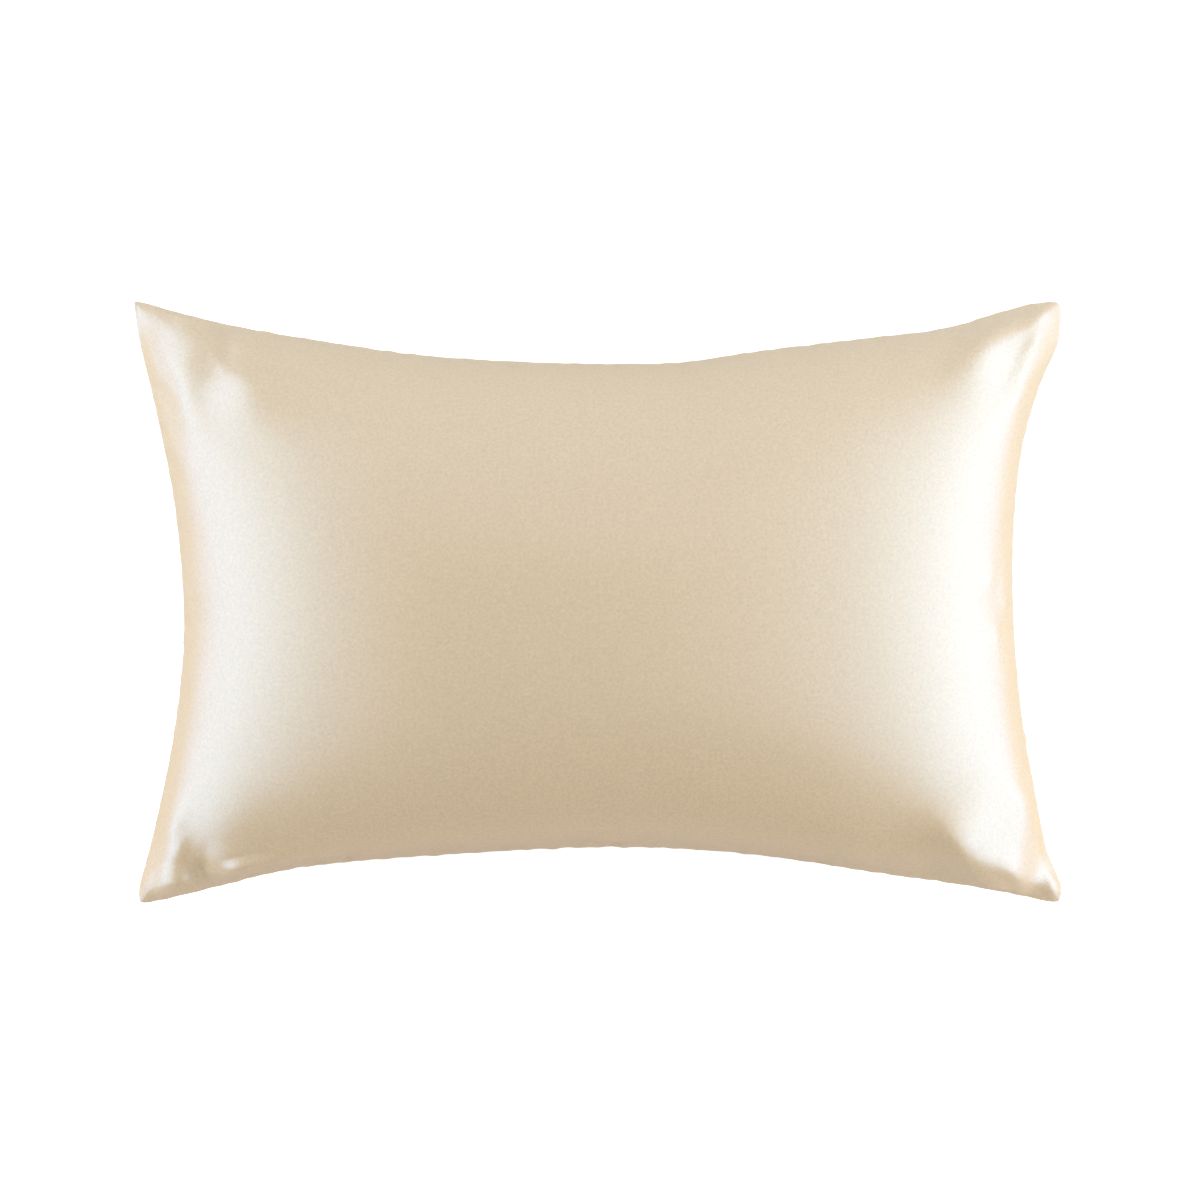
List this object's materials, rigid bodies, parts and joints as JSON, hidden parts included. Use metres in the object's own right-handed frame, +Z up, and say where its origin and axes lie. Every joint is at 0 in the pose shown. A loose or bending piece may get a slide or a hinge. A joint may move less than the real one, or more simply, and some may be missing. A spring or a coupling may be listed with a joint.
{
  "type": "filled pillowcase",
  "caption": "Oblong satin pillowcase filled by its pillow, lying on its back, with drawn-in sides, a soft crown and small loose corners.",
  "frame": {"origin": "on the surface that the case lies on, under the middle of its outline", "axes": "+X along the long sides, +Y from the bottom side to the top side of the front panel, +Z up out of the front panel"},
  "size_m": [0.7534, 0.489, 0.2139],
  "materials": {
    "satin": "champagne satin with a soft sheen"
  },
  "bodies": {
    "root": {"pillowcase": "satin"}
  },
  "joints": []
}
